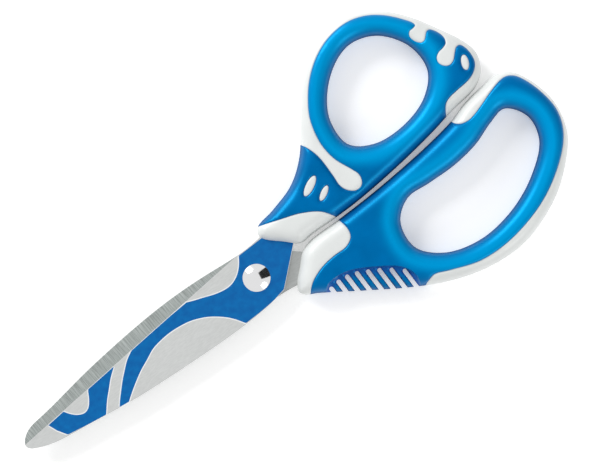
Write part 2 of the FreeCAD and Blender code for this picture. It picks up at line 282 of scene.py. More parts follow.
@dataclass(frozen=True)
class Finish:
    """What every finish has: its name, its sRGB colour and how rough and metallic it is."""

    name: str
    colour: str
    roughness: float
    metallic: float = 0.0

    def start(self) -> tuple[bpy.types.Material, bpy.types.NodeTree, bpy.types.Node]:
        """Make the material with its main shader.

        Returns:
            The material, its node tree and the shader.
        """
        material = bpy.data.materials.new(self.name)
        material.use_nodes = True
        tree = material.node_tree
        shader = tree.nodes["Principled BSDF"]
        shader.inputs["Base Color"].default_value = linear(self.colour)
        shader.inputs["Roughness"].default_value = self.roughness
        shader.inputs["Metallic"].default_value = self.metallic
        return material, tree, shader

    def grain(
        self, tree: bpy.types.NodeTree, size_mm: float, detail: float = 3.0,
        stretch: tuple[float, float, float] = (1, 1, 1), turn: float = 0.0,
    ) -> bpy.types.NodeSocket:
        """Lay a noise on the object's own coordinates, drawn out along its own axes.

        Args:
            tree: The material's node tree.
            size_mm: Size of one feature, in millimetres.
            detail: How many finer noises are added.
            stretch: How many times finer the noise is along each axis.
            turn: Turn about Z, in degrees, before the stretch.

        Returns:
            The noise's value.
        """
        place = add_node(tree, "ShaderNodeTexCoord", out="Object")
        turned = {"Vector": place, "Rotation": (0, 0, math.radians(turn))}
        drawn = {"Vector": add_node(tree, "ShaderNodeMapping", turned), "Scale": stretch}
        noise = {"Vector": add_node(tree, "ShaderNodeMapping", drawn)}
        noise |= {"Scale": per_metre(size_mm), "Detail": detail}
        return add_node(tree, "ShaderNodeTexNoise", noise)


@dataclass(frozen=True)
class GroundSteel(Finish):
    """Stainless strip: satin faces rolled lengthwise, and a bevel ground across the edge, coloured darker
    than the faces as painted shade.
    """

    light_colour: str = "#dbdddc"
    # painted shade: the bevel and its wheel marks are coloured much darker than the faces, in place of the
    # light the bevel doesn't mirror
    bevel_shade_colour: str = "#8b918f"
    mark_shade_colour: str = "#9fa5a3"
    grain_mm: float = 0.35     # rolled grain is about 0.05 mm, drawn coarser so that it shows
    streak_mm: float = 0.45    # one wheel mark on the bevel, drawn wide enough to show
    cloud_mm: float = 14.0     # patches that are a little duller than the rest
    marks_lean: float = -4.8   # degrees from square across the blade
    flat_lift: float = 0.996   # the normal's height on a face, and on the band, which leans
    band_lift: float = 0.985   # by about 14 degrees

    def make(self) -> bpy.types.Material:
        """Make the material.

        Returns:
            The finished material.
        """
        material, tree, shader = self.start()
        normal = add_node(tree, "ShaderNodeNewGeometry", out="Normal")
        lift = add_node(tree, "ShaderNodeSeparateXYZ", {0: normal}, out=2)
        lift = add_node(tree, "ShaderNodeMath", {0: lift}, operation="ABSOLUTE")
        ground = add_node(tree, RANGE, {0: lift, 1: self.flat_lift, 2: self.band_lift})
        rolled = self.grain(tree, self.grain_mm, 4.0, stretch=(0.2, 1, 1))
        streaks = self.grain(tree, self.streak_mm, 5.0, (1, 0.06, 0.06), self.marks_lean)
        clouds = self.grain(tree, self.cloud_mm, 2.0)
        light = add_node(tree, RANGE, {0: rolled, 1: 0.35, 2: 0.65})
        face = {0: light, 6: linear(self.colour), 7: linear(self.light_colour)}
        marked = add_node(tree, RANGE, {0: streaks, 1: 0.35, 2: 0.68})
        # painted shade: the leaning bevel, found by its normal, takes the darker colours; the wheel marks
        # on it are real grain
        band = {0: marked, 6: linear(self.bevel_shade_colour), 7: linear(self.mark_shade_colour)}
        both = {0: ground, 6: add_node(tree, MIX, face, **COLOURS), 7: add_node(tree, MIX, band, **COLOURS)}
        tree.links.new(add_node(tree, MIX, both, **COLOURS), shader.inputs["Base Color"])
        satin = {0: clouds, **MIDDLE, 3: self.roughness - 0.05, 4: self.roughness + 0.06}
        wheel = {0: streaks, **MIDDLE, 3: 0.24, 4: 0.32}
        rough = {0: ground, 2: add_node(tree, RANGE, satin), 3: add_node(tree, RANGE, wheel)}
        tree.links.new(add_node(tree, MIX, rough), shader.inputs["Roughness"])
        relief = {"Height": rolled, "Distance": 0.002 * MM, "Strength": 0.4}
        tree.links.new(add_node(tree, "ShaderNodeBump", relief), shader.inputs["Normal"])
        return material


@dataclass(frozen=True)
class PolishedSteel(Finish):
    """Nickel-plated steel, barrel polished: a near mirror with faint scuffs."""

    scuff_mm: float = 0.6
    scuffs_lean: float = 30.0

    def make(self) -> bpy.types.Material:
        """Make the material.

        Returns:
            The finished material.
        """
        material, tree, shader = self.start()
        scuffs = self.grain(tree, self.scuff_mm, 5.0, (0.3, 1, 1), self.scuffs_lean)
        rough = {0: scuffs, 1: 0.4, 2: 0.75, 3: self.roughness, 4: self.roughness + 0.14}
        tree.links.new(add_node(tree, RANGE, rough), shader.inputs["Roughness"])
        relief = {"Height": scuffs, "Distance": 0.004 * MM, "Strength": 0.35}
        tree.links.new(add_node(tree, "ShaderNodeBump", relief), shader.inputs["Normal"])
        return material


@dataclass(frozen=True)
class HardPlastic(Finish):
    """Injection-moulded polypropylene: smooth, white and a little glossy, with a faint ripple."""

    flow_colour: str = "#d3d6d5"
    flow_mm: float = 11.0
    ripple_mm: float = 1.6

    def make(self) -> bpy.types.Material:
        """Make the material.

        Returns:
            The finished material.
        """
        material, tree, shader = self.start()
        shader.inputs["IOR"].default_value = 1.49
        flow = add_node(tree, RANGE, {0: self.grain(tree, self.flow_mm, 2.0), **MIDDLE})
        tone = {0: flow, 6: linear(self.colour), 7: linear(self.flow_colour)}
        tree.links.new(add_node(tree, MIX, tone, **COLOURS), shader.inputs["Base Color"])
        ripple = self.grain(tree, self.ripple_mm, 3.0)
        rough = {0: ripple, **MIDDLE, 3: self.roughness - 0.04, 4: self.roughness + 0.07}
        tree.links.new(add_node(tree, RANGE, rough), shader.inputs["Roughness"])
        relief = {"Height": ripple, "Distance": 0.01 * MM, "Strength": 0.4}
        tree.links.new(add_node(tree, "ShaderNodeBump", relief), shader.inputs["Normal"])
        return material


@dataclass(frozen=True)
class SoftRubber(Finish):
    """Overmoulded thermoplastic rubber: satin, with painted shade on its steep sides, slot edges and scoop
    edge, and a painted highlight round each hole.
    """

    # painted shade: navy on the steep sides and by the slots' edges
    side_shade_colour: str = "#04205c"
    # painted shade: dark violet band inside the scoop along its edge
    scoop_shade_colour: str = "#1c3f93"
    glow_colour: str = "#00c4ff"
    flow_colour: str = "#005fa0"
    highlight_band_colour: str = "#008cc8"   # painted highlight: a lighter band round each hole
    flow_mm: float = 9.0
    spark_mm: float = 0.45     # spark-eroded mould grain, drawn coarser than its true 0.1 mm

    def make(self) -> bpy.types.Material:
        """Make the material.

        Returns:
            The finished material.
        """
        material, tree, shader = self.start()
        shader.inputs["IOR"].default_value = 1.5
        shader.inputs["Specular Tint"].default_value = linear(self.glow_colour)
        shader.inputs["Specular IOR Level"].default_value = 1.0
        steep, rest, thin = (
            add_node(tree, "ShaderNodeAttribute", out="Fac", attribute_name=name)
            for name in (STEEP_SHADE, SCOOP_SHADE, HIGHLIGHT_BAND)
        )
        flow = add_node(tree, RANGE, {0: self.grain(tree, self.flow_mm, 2.0), **MIDDLE})
        # painted shade: the steep sides and the slots' edges turn navy; the same mark also makes them
        # rougher
        deep = add_node(tree, RANGE, {0: steep, 1: 0.35, 2: 0.9})
        tone = linear(self.colour)
        # random flow tone, then the painted highlight round the hole, the painted shade on the steep sides
        # and slot edges, and the painted shade along the scoop
        for share, colour in (
            (flow, self.flow_colour), (thin, self.highlight_band_colour),
            (deep, self.side_shade_colour), (rest, self.scoop_shade_colour),
        ):
            tone = add_node(tree, MIX, {0: share, 6: tone, 7: linear(colour)}, **COLOURS)
        tree.links.new(tone, shader.inputs["Base Color"])
        spark = self.grain(tree, self.spark_mm, 4.0)
        rough = {0: spark, **MIDDLE, 3: self.roughness - 0.04, 4: self.roughness + 0.05}
        matt = {0: steep, 1: 0.35, 2: 0.9, 3: 0.0, 4: 0.5}
        both = {0: add_node(tree, RANGE, rough), 1: add_node(tree, RANGE, matt)}
        tree.links.new(
            add_node(tree, "ShaderNodeMath", both, operation="ADD"), shader.inputs["Roughness"]
        )
        relief = {"Height": spark, "Distance": 0.006 * MM, "Strength": 0.4}
        tree.links.new(add_node(tree, "ShaderNodeBump", relief), shader.inputs["Normal"])
        return material


@dataclass(frozen=True)
class PrintedInk(Finish):
    """Pad-printed enamel ink: a thin even film, slightly mottled, with a soft gloss."""

    mottle: str = "#0066a8"
    mottle_mm: float = 2.4
    screen_mm: float = 0.5

    def make(self) -> bpy.types.Material:
        """Make the material.

        Returns:
            The finished material.
        """
        material, tree, shader = self.start()
        shader.inputs["IOR"].default_value = 1.5
        shader.inputs["Specular IOR Level"].default_value = 0.15
        cloud = add_node(tree, RANGE, {0: self.grain(tree, self.mottle_mm, 5.0), 1: 0.35, 2: 0.7})
        tone = {0: cloud, 6: linear(self.colour), 7: linear(self.mottle)}
        tree.links.new(add_node(tree, MIX, tone, **COLOURS), shader.inputs["Base Color"])
        screen = self.grain(tree, self.screen_mm, 3.0)
        relief = {"Height": screen, "Distance": 0.004 * MM, "Strength": 0.5}
        tree.links.new(add_node(tree, "ShaderNodeBump", relief), shader.inputs["Normal"])
        return material


BLADE = GroundSteel("ground_stainless_steel", "#cccecd", 0.36, 1.0, light_colour="#d4d6d5")
# painted shade: the rear blade is the same steel as the front one, coloured darker for the shade it lies in
SHADED_REAR_BLADE = GroundSteel("ground_stainless_steel_rear_shaded", "#a9acab", 0.38, 1.0, light_colour="#b4b7b6")
RIVET = PolishedSteel("nickel_plated_rivet", "#e9e9ea", 0.05, 1.0)
WASHER = PolishedSteel("plain_washer_steel", "#b9bbbc", 0.22, 1.0)
CORE = HardPlastic("moulded_white_polypropylene", "#dadddc", 0.36)
GRIP = SoftRubber("overmoulded_blue_rubber", "#00528f", 0.33)
BLUE_INK = PrintedInk("blue_pad_print_ink", "#00599c", 0.45)
WHITE_INK = PrintedInk("white_pad_print_ink", "#e9ebeb", 0.45, mottle="#e1e4e4")


# ------------------------ meshes


def new_object(name: str, points: np.ndarray, faces: list[tuple[int, ...]]) -> bpy.types.Object:
    """Make a mesh object at the origin.

    Args:
        name: The object's name.
        points: Its vertices, in millimetres.
        faces: The vertex numbers of each face.

    Returns:
        The new object.
    """
    mesh = bpy.data.meshes.new(name)
    mesh.from_pydata((points * MM).tolist(), [], faces)
    mesh.validate()
    piece = bpy.data.objects.new(name, mesh)
    bpy.context.scene.collection.objects.link(piece)
    return piece


def select_only(piece: bpy.types.Object) -> None:
    """Select one object and make it the active one.

    Args:
        piece: The object.
    """
    bpy.ops.object.select_all(action="DESELECT")
    piece.select_set(True)
    bpy.context.view_layer.objects.active = piece


def dress(piece: bpy.types.Object, material: bpy.types.Material) -> None:
    """Give an object one material.

    Args:
        piece: The object.
        material: The material for all of its slots.
    """
    if not piece.material_slots:
        piece.data.materials.append(material)
    for slot in piece.material_slots:
        slot.material = material


@dataclass
class Metalwork:
    """The blades, the rivet and the washer, which keep their modelled shapes."""

    finishes: dict[str, GroundSteel | PolishedSteel]

    def dress(self) -> None:
        """Give each piece its own finish."""
        for name, finish in self.finishes.items():
            dress(frame["nodes"][name], finish.make())
            LOG.info("%s: %s", name, finish.name)


METALWORK = Metalwork({
    "front_blade": BLADE,
    "rear_blade": SHADED_REAR_BLADE,
    "pivot_rivet": RIVET,
    "pivot_washer": WASHER,
})


@dataclass
class Crown:
    """The rounding of a moulding's upper or lower side, in millimetres."""

    half: float                # from the mid-plane to the hard plastic's face
    radius: float              # distance from the edge at which the form is level
    fullness: float = 2.2      # 2 is an ellipse, more is squarer

    def share(self, gap: np.ndarray) -> np.ndarray:
        """Return the share of the full height at each distance from the edge."""
        rest = 1 - np.clip(gap / self.radius, 0, 1)
        return (1 - rest**self.fullness) ** (1 / self.fullness)


@dataclass(frozen=True)
class Spacing:
    """How the points of a handle's plan are spread, in millimetres."""

    near_seam: float = 0.22    # rows that carry the groove
    by_seam: float = 0.6       # rows where the soft plastic has risen
    by_slot: tuple[float, float] = (-0.12, -0.4)
    ring_angles: tuple[int, ...] = (10, 22, 35, 50, 65, 80)   # degrees round the crown
    ring_error: float = 0.03   # points further out of place are dropped
    ring_to_seam: float = 0.14
    inner_to_edge: float = 0.3
    to_line: float = 0.1
    to_slot: float = 0.08
    grid: float = 0.9
    grid_row: float = 0.87     # a row's share of the grid's pitch, for even triangles
    level: float = 0.9         # share of the crown's radius past which the grid begins
    least: float = 0.17


@dataclass
class Handle:
    """One handle: a hard core and a soft grip that meet along a fine groove.

    Both plastics share one crowned surface, and the line between them branches into drips and
    spots. So the plan is cut into triangles in code, not with operators, and each point is raised
    by its distance to the edges and seams.

    Points are (distance back from the pivot, distance out from the parting line between the two
    handles), in millimetres.
    """

    name: str
    body: Body
    side: int
    outline: Points
    hole: Points
    seams: tuple[tuple[Points, Points], ...]
    spots: tuple[tuple[float, float, float, float, float], ...] = ()
    scoop: Points = ()
    scoop_close: Points = ()
    slot_width: float = 1.55
    slot_pitch: float = 3.3
    slot_margin: float = 2.0
    first_slot: float = 17.7
    slot_count: int = 0
    scoop_depth: float = 1.4
    parting_offset: float = 2.0
    parting_slope: float = 0.0822
    top: Crown = field(default_factory=lambda: Crown(5.15, 5.0))
    underside: Crown = field(default_factory=lambda: Crown(5.15, 3.6, 2.4))
    bulge: float = 0.33        # soft plastic standing proud of the hard
    groove: float = 0.3
    groove_half: float = 0.2   # the groove's reach from a seam
    soft_rise: float = 0.7     # distance from a seam in which the soft plastic rises
    scoop_wall: float = 0.7
    scoop_shade_band: float = 2.6    # painted shade band along the scoop's edge
    slot_round: float = 0.4
    slot_drop: float = 0.3
    slot_shade: float = 0.25
    slot_reach: float = 16.0   # long enough to leave the handle
    slot_step: float = 0.4
    highlight_band_at: float = 3.8       # middle of the painted highlight band, from the hole's edge
    highlight_band_reach: float = 2.8
    smooth_angle: float = 48.0
    spacing: Spacing = Spacing()
    pieces: dict[Plastic, bpy.types.Object] = field(default_factory=dict)

    def place(self, drawn: Points | np.ndarray) -> np.ndarray:
        """Turn drawn points into the object's own frame.

        Args:
            drawn: Points as (distance back, distance out).

        Returns:
            The same points as x and y, in millimetres.
        """
        back, out = np.array(drawn, float).T
        parting = self.parting_offset - self.parting_slope * back
        return np.column_stack([PIVOT[0] - back, PIVOT[1] + parting + self.side * out])

    def zone(self, seam: Points, close: Points) -> np.ndarray:
        """Return a seam closed by straight runs that pass outside the handle."""
        return np.vstack([smooth(self.place(seam), False), self.place(close)])

    def spot(self, back: float, out: float, long: float, short: float, lean: float) -> np.ndarray:
        """Draw an ellipse of hard plastic that shows through the grip.

        Args:
            back: Its middle's distance back.
            out: Its middle's distance out.
            long: Half its length.
            short: Half its width.
            lean: Its long axis's lean from the back direction, in degrees.

        Returns:
            The ellipse's samples.
        """
        turn = math.radians(lean)
        along = np.array([-math.cos(turn), self.side * math.sin(turn)])
        across = np.array([-along[1], along[0]])
        angle = np.linspace(0, 2 * math.pi, SPOT_POINTS, endpoint=False)[:, None]
        return self.place([(back, out)]) + np.cos(angle) * along * long + np.sin(angle) * across * short

    def slots(self) -> list[np.ndarray]:
        """Draw the finger rest's slots, round at the top and open below.

        Returns:
            One closed outline for each slot.
        """
        if not self.slot_count:
            return []
        rim = smooth(self.place(self.scoop), False)
        half = self.slot_width / 2
        angle = np.linspace(0, math.pi, SLOT_CAP_POINTS)
        loops = []
        for index in range(self.slot_count):
            x = PIVOT[0] - self.first_slot - index * self.slot_pitch
            crossed = (rim[:-1, 0] - x) * (rim[1:, 0] - x) <= 0
            top = rim[:-1, 1][crossed].min() + self.slot_margin
            cap = np.column_stack([x + half * np.cos(angle), top - half * np.sin(angle)])
            depths = np.arange(self.slot_step, self.slot_reach, self.slot_step)
            left = np.column_stack([np.full(len(depths), x - half), top + depths])
            right = np.column_stack([np.full(len(depths), x + half), top + depths])
            loops.append(np.vstack([cap, left, right[::-1]]))
        return loops

    def free_points(
        self, loops: list[np.ndarray], lines: list[np.ndarray], slots: list[np.ndarray]
    ) -> np.ndarray:
        """Scatter the points that carry the crown and the groove.

        Args:
            loops: The outline and the hole.
            lines: The seams, spots and scoop edge.
            slots: The slots' outlines.

        Returns:
            The points inside the form, far enough apart.
        """
        space = self.spacing
        near, by = space.near_seam, space.by_seam
        near_seams = [offset(line, gap, False) for line in lines for gap in (-near, near)]
        by_seams = [offset(line, gap, False) for line in lines for gap in (-by, by)]
        by_slots = [offset(slot, gap, True) for slot in slots for gap in space.by_slot]
        rings = []
        for angle in space.ring_angles:
            gap = self.top.radius * (1 - math.cos(math.radians(angle)))
            for loop in loops:
                rings += [(gap, offset(loop, gap, True)), (gap, offset(loop, -gap, True))]
        kept = [
            ring[np.abs(gap_to(ring, loops, True) - gap) < space.ring_error] for gap, ring in rings
        ]
        kept = [ring[gap_to(ring, lines, False) > space.ring_to_seam] for ring in kept]
        low, high = loops[0].min(axis=0), loops[0].max(axis=0)
        pitch = space.grid
        columns = np.arange(low[0], high[0], pitch)
        xs, ys = np.meshgrid(columns, np.arange(low[1], high[1], pitch * space.grid_row))
        xs[::2] += pitch / 2
        grid = np.column_stack([xs.ravel(), ys.ravel()])
        grid = grid[gap_to(grid, lines, False) > pitch] if lines else grid
        grid = grid[gap_to(grid, loops, True) > self.top.radius * space.level]
        inner = np.vstack([*near_seams, *by_seams, *by_slots]) if lines else np.empty((0, 2))
        inner = inner[gap_to(inner, loops, True) > space.inner_to_edge]
        points = np.vstack([inner, *kept, grid])
        points = points[is_inside(points, loops[0]) & ~is_inside(points, loops[1])]
        for slot in slots:
            points = points[~is_inside(points, slot)]
        points = points[gap_to(points, lines, False) > space.to_line]
        points = points[gap_to(points, slots, True) > space.to_slot]
        return thinned(points, space.least)

    def build(self) -> None:
        """Make the core and the grip as closed shells that share one parting groove."""
        loops = [smooth(self.place(self.outline), True), smooth(self.place(self.hole), True)]
        zones = [self.zone(seam, close) for seam, close in self.seams]
        spots = [self.spot(*spot) for spot in self.spots]
        slots = self.slots()
        seams = [smooth(self.place(seam), False) for seam, _ in self.seams]
        seams += [np.vstack([spot, spot[:1]]) for spot in spots]
        scoop = [smooth(self.place(self.scoop), False)] if self.scoop else []
        free = self.free_points(loops, seams + scoop, slots)

        corners: list[Vector] = []
        edges: list[tuple[int, int]] = []
        for line, closed in (
            [(loop, True) for loop in loops + slots] + [(line, False) for line in seams + scoop]
        ):
            first = len(corners)
            corners += [Vector(point) for point in line]
            edges += [(first + i, first + i + 1) for i in range(len(line) - 1)]
            if closed:
                edges.append((first + len(line) - 1, first))
        corners += [Vector(point) for point in free]
        cut = delaunay_2d_cdt(corners, edges, [], 0, 1e-5)
        flat = np.array([point[:] for point in cut[0]])
        triangles = np.array(cut[2])
        middle = flat[triangles].mean(axis=1)
        form = is_inside(middle, loops[0]) & ~is_inside(middle, loops[1])
        for slot in slots:
            form &= ~is_inside(middle, slot)
        hard = np.zeros(len(middle), bool)
        for zone in zones + spots:
            hard |= is_inside(middle, zone)

        edge_gap = gap_to(flat, loops, True)
        seam_gap = gap_to(flat, seams, False)
        slot_gap = gap_to(flat, slots, True)
        edge_gap[edge_gap < ON_THE_EDGE] = 0.0
        lowered = np.zeros(len(flat))
        if self.scoop:
            below = is_inside(flat, np.vstack([scoop[0], self.place(self.scoop_close)]))
            lowered = np.where(below, ramp(gap_to(flat, scoop, False), self.scoop_wall), 0.0)
        for plastic, chosen in ((Plastic.HARD, form & hard), (Plastic.SOFT, form & ~hard)):
            full = np.full(len(flat), 0.0)
            if plastic is Plastic.SOFT:
                full += self.bulge * (1 - np.exp(-seam_gap / self.soft_rise)) * (1 - lowered)
            full -= self.groove * np.exp(-((seam_gap / self.groove_half) ** 2))
            full -= self.scoop_depth * lowered
            rest = 1 - np.clip(slot_gap / self.slot_round, 0, 1)
            full -= self.slot_drop * (1 - np.sqrt(1 - rest**2))
            above = self.top.share(edge_gap) * (self.top.half + full)
            below = self.underside.share(edge_gap) * (self.underside.half + full)
            self.pieces[plastic] = self.shell(plastic, flat, triangles[chosen], above, below)
            # painted shade: the colour darkens by the slots' edges and on the crown's steep sides
            by_slot = np.exp(-((slot_gap / self.slot_shade) ** 2))
            wall_shade = np.maximum(1 - self.top.share(edge_gap), by_slot)
            # painted shade: a dark band inside the scoop, along its edge
            band = lowered * np.exp(-((gap_to(flat, scoop, False) / self.scoop_shade_band) ** 4))
            # painted highlight: a lighter band at a set distance from the hole
            from_hole = gap_to(flat, loops[1:], True) - self.highlight_band_at
            thin = np.exp(-((from_hole / self.highlight_band_reach) ** 2))
            marks = {STEEP_SHADE: wall_shade, SCOOP_SHADE: band, HIGHLIGHT_BAND: thin}
            self.mark(self.pieces[plastic], marks)

    def shell(
        self, plastic: Plastic, flat: np.ndarray, triangles: np.ndarray,
        above: np.ndarray, below: np.ndarray,
    ) -> bpy.types.Object:
        """Stand a flat triangulation up into a closed shell.

        Args:
            plastic: The plastic that the shell is made of.
            flat: Every point of the triangulation.
            triangles: The triangles of this plastic.
            above: Height over the mid-plane at each point.
            below: Depth under the mid-plane at each point.

        Returns:
            The shell's object, with each vertex's flat point number stored in `source`.
        """
        a, b, c = (flat[triangles[:, i]] for i in range(3))
        (bx, by), (cx, cy) = (b - a).T, (c - a).T
        turned = bx * cy - by * cx < 0
        triangles = np.where(turned[:, None], triangles[:, ::-1], triangles)
        used = np.unique(triangles)
        upper = {int(point): number for number, point in enumerate(used)}
        lower = dict(upper)
        source = list(used)
        for point in used:
            if above[point] > 0:
                lower[int(point)] = len(source)
                source.append(point)
        split = len(used)
        source = np.array(source)
        heights = np.concatenate([above[source[:split]], -below[source[split:]]]) + MID_HEIGHT
        faces = []
        sides: dict[tuple[int, int], None] = {}
        for i, j, k in triangles.tolist():
            faces.append((upper[i], upper[j], upper[k]))
            faces.append((lower[k], lower[j], lower[i]))
            for start, end in ((i, j), (j, k), (k, i)):
                sides[start, end] = None
        for start, end in sides:
            if (end, start) in sides:
                continue
            ring = [lower[start], lower[end], upper[end], upper[start]]
            ring = [corner for number, corner in enumerate(ring) if corner not in ring[:number]]
            if len(ring) > 2:
                faces.append(tuple(ring))
        points = np.column_stack([flat[source], heights])
        piece = new_object(f"{self.name}_{plastic.value}_moulding", points, faces)
        stored = piece.data.attributes.new("source", "INT", "POINT")
        stored.data.foreach_set("value", source.astype(np.int32))
        return piece

    def mark(self, piece: bpy.types.Object, marks: dict[str, np.ndarray]) -> None:
        """Store values at each vertex for the finish to read.

        Args:
            piece: A shell that still has its flat point numbers.
            marks: For each attribute's name, its value at every flat point.
        """
        source = np.zeros(len(piece.data.vertices), np.int32)
        piece.data.attributes["source"].data.foreach_get("value", source)
        for name, values in marks.items():
            stored = piece.data.attributes.new(name, "FLOAT", "POINT")
            stored.data.foreach_set("value", values[source].astype(np.float32))
        piece.data.attributes.remove(piece.data.attributes["source"])

    def dress(self, finishes: dict[Plastic, bpy.types.Material]) -> None:
        """Smooth and colour the two pieces, and put each in its node's place.

        Args:
            finishes: The material of each plastic.
        """
        for plastic, piece in self.pieces.items():
            select_only(piece)
            bpy.ops.object.shade_smooth_by_angle(angle=math.radians(self.smooth_angle))
            dress(piece, finishes[plastic])
            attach(piece, self.body.value)
            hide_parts(f"{self.name}_{plastic.value}")
            LOG.info("%s: %d triangles", piece.name, len(piece.data.polygons))


THUMB = Handle(
    name="thumb_handle",
    body=Body.THUMB,
    side=-1,
    outline=(
        (9.0, 11.2), (10.3, 14.3), (17.9, 15.3), (27.7, 17.5), (36.1, 23.1), (44.6, 33.8),
        (51.7, 41.3), (60.4, 46.5), (69.6, 48.0), (77.5, 46.8), (86.3, 41.2), (93.1, 33.0),
        (98.6, 23.2), (102.3, 15.5), (103.6, 9.6), (101.4, 4.0), (97.6, 1.3), (94.0, 0.45),
        (86.0, 0.25), (77.0, -0.7), (66.0, -1.35), (54.0, -1.6), (42.0, -1.35), (33.0, -0.6),
        (24.0, 0.5), (18.6, 0.9), (14.2, 5.0),
    ),
    hole=(
        (72.5, 39.4), (80.9, 35.4), (87.2, 25.6), (87.1, 15.9), (80.7, 9.8), (70.3, 7.4),
        (58.4, 9.2), (51.1, 15.1), (51.2, 25.1), (56.6, 33.1), (65.1, 38.5),
    ),
    seams=(
        (
            (
                (34.5, 30.5), (38.2, 25.5), (40.5, 19.0), (40.7, 10.4), (40.5, 6.8), (41.2, 4.4),
                (42.8, 2.4), (44.3, 1.6), (46.2, 1.7), (47.5, 3.1), (47.8, 5.3), (47.0, 7.7),
                (44.5, 14.0), (43.8, 18.7), (44.0, 22.7), (45.8, 29.5), (49.3, 35.0),
                (53.7, 39.6), (59.3, 43.3), (66.4, 45.7), (74.4, 45.7), (81.2, 43.1),
                (86.6, 38.7), (91.0, 33.1), (92.3, 30.9),
                # the first drip
                (92.5, 29.7), (91.3, 29.4), (89.7, 29.4), (88.8, 28.4), (88.8, 27.0),
                (89.5, 25.2), (90.7, 23.9), (92.0, 23.9), (93.3, 24.9), (94.3, 25.6),
                (95.5, 25.4), (96.6, 24.0), (97.5, 21.8), (97.6, 19.7),
                # the second drip
                (96.8, 18.4), (95.2, 17.9), (93.4, 17.8), (91.8, 17.0), (91.1, 15.5),
                (91.5, 13.9), (92.7, 12.5), (94.1, 12.1), (95.6, 12.5), (97.4, 14.0),
                (99.0, 15.1), (100.4, 14.9), (101.3, 13.2), (101.6, 10.9), (101.3, 8.2),
                (100.4, 6.5), (98.5, 5.1), (95.9, 4.3), (90.1, 4.2), (87.3, 4.1), (85.1, 3.4),
                (83.6, 1.7), (82.8, 0.3), (82.2, -2.0),
            ),
            ((130.0, -2.0), (130.0, 70.0), (30.0, 70.0)),
        ),
        (
            (
                (6.0, 15.8), (10.5, 14.4), (17.9, 11.3), (24.4, 8.4), (30.1, 4.4), (32.8, 0.5),
                (34.0, -2.0),
            ),
            ((0.0, -2.0), (0.0, 30.0)),
        ),
    ),
    spots=(
        (98.2, 9.4, 2.6, 1.3, 65.0),
        (32.5, 13.0, 3.8, 1.4, 27.0),
        (34.8, 8.1, 2.8, 1.1, 29.0),
    ),
)

FINGER = Handle(
    name="finger_handle",
    body=Body.FINGER,
    side=1,
    outline=(
        (97.6, 0.25), (104.0, 0.4), (108.7, 2.9), (112.4, 9.4), (114.5, 20.2), (112.0, 30.4),
        (106.0, 37.4), (94.7, 44.8), (78.5, 48.8), (64.4, 47.1), (50.8, 41.8), (38.6, 34.3),
        (26.0, 25.1), (13.4, 15.6), (9.6, 13.1), (8.4, 10.8), (9.9, 8.2), (13.6, 5.0), (17.4, 1.8),
        (21.4, 0.7),
        (33.1, 1.7), (46.0, 2.6), (59.8, 3.0), (73.2, 2.9), (83.0, 2.2), (90.0, 0.7),
    ),
    hole=(
        (99.8, 10.9), (93.1, 11.4), (85.2, 13.4), (75.5, 13.9), (65.2, 12.8), (56.2, 11.7),
        (49.5, 16.1), (48.3, 25.6), (55.2, 33.6), (67.1, 38.2), (80.5, 38.1), (93.2, 33.9),
        (102.9, 26.5), (104.6, 18.0),
    ),
    seams=(
        (
            (
                (82.4, -2.0), (83.0, 2.4), (83.6, 3.7), (85.2, 5.1), (87.8, 5.8), (91.2, 5.5),
                (99.4, 3.5), (104.0, 2.8), (106.4, 3.1), (108.4, 4.4), (110.1, 6.8), (112.7, 14.7),
                (113.2, 23.4), (110.0, 30.4), (102.6, 36.7), (90.4, 42.4), (75.2, 44.7),
                (63.0, 43.3), (53.1, 39.0), (48.0, 36.5), (46.1, 36.6), (43.3, 37.6), (41.0, 41.0),
            ),
            ((41.0, 80.0), (130.0, 80.0), (130.0, -2.0)),
        ),
        (
            (
                (32.4, -2.0), (33.3, 1.6), (34.0, 6.0), (33.1, 8.7), (30.0, 10.1), (25.0, 9.7),
                (19.5, 9.9), (14.1, 11.6), (11.3, 13.8), (9.0, 17.0),
            ),
            ((0.0, 30.0), (0.0, -2.0)),
        ),
    ),
    scoop=(
        (13.0, 20.0), (17.3, 15.5), (24.7, 16.0), (33.9, 21.4), (41.2, 27.8), (43.0, 33.0),
        (40.0, 42.0),
    ),
    scoop_close=((30.0, 60.0), (5.0, 40.0)),
    slot_count=8,
)


# ------------------------ the print on the blade


@dataclass(frozen=True)
class Run:
    """One stretch of a printed shape's border, in millimetres from the pivot."""

    points: Points
    curved: bool = False
    ends: float = 1.0          # share of the white keyline that shows along it

    def samples(self) -> np.ndarray:
        """Return the run's samples, smooth or with straight corners."""
        return smooth(self.points, False, 0.4) if self.curved else np.array(self.points, float)


